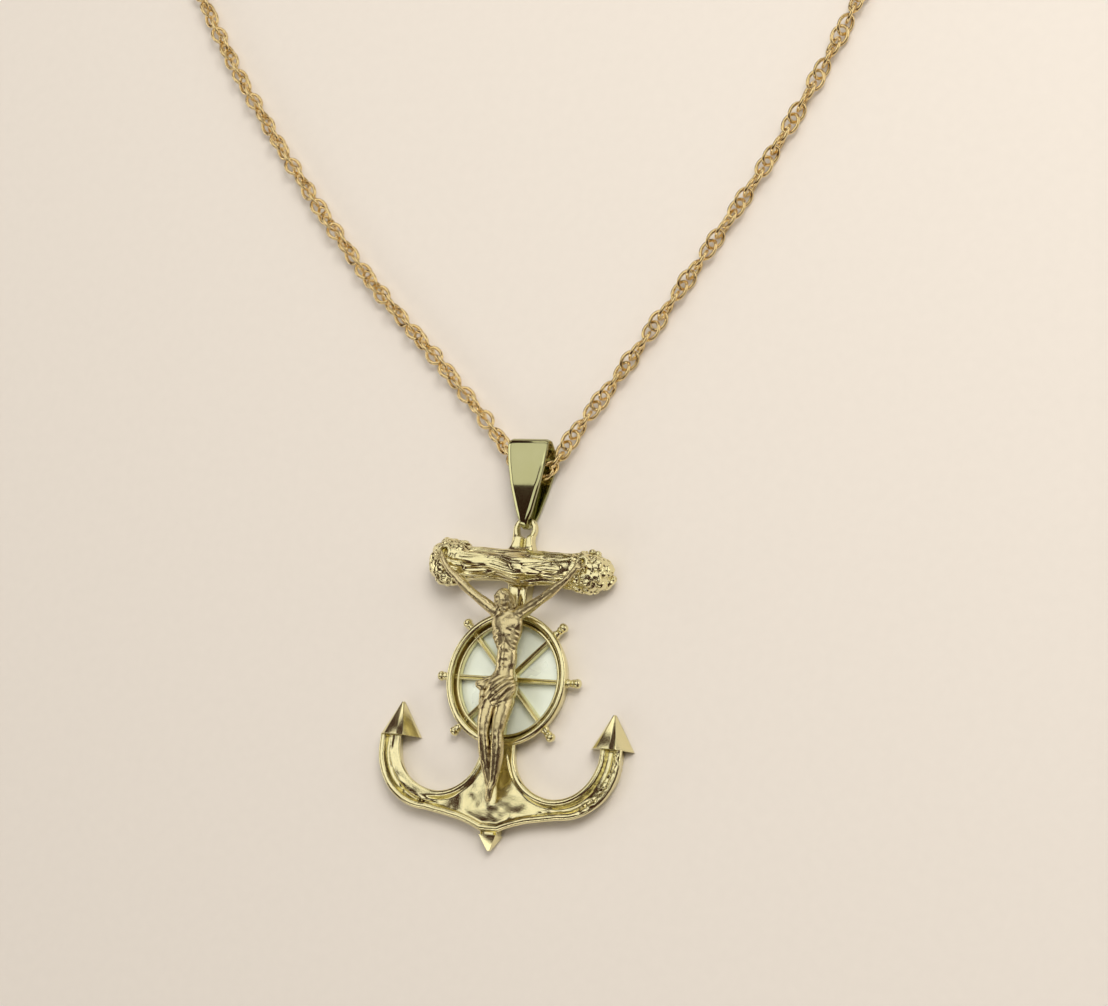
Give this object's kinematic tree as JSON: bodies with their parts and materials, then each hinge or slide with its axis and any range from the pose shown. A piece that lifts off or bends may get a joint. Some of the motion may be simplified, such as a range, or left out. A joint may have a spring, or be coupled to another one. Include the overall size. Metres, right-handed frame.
{
  "type": "anchor pendant on a rope chain",
  "caption": "Anchor pendant with log stock, ship's wheel, bright disc and corpus, on a tapered bail and a closed rope chain lying in a loop.",
  "frame": {"origin": "centre of the ship's wheel, on the flat back of the pendant, which is the surface that it lies on", "axes": "+Y runs up the pendant to the bail, +X to its right as it is looked at, +Z out of its front"},
  "size_m": [0.1241, 0.242, 0.0047],
  "materials": {
    "cast_gold": "gold plate over cast brass, bright",
    "bright_plate": "pale gold plate, mirror polished",
    "figure_gold": "gold plate over cast brass, satin in the hollows",
    "polished_gold": "gold plate over pressed strip, polished",
    "chain_gold": "gold plate over drawn wire, bright"
  },
  "bodies": {
    "root": {"anchor": "cast_gold", "wheel_plate": "bright_plate", "corpus": "figure_gold", "bail": "polished_gold", "chain": "chain_gold", "clasp": "polished_gold"}
  },
  "joints": []
}
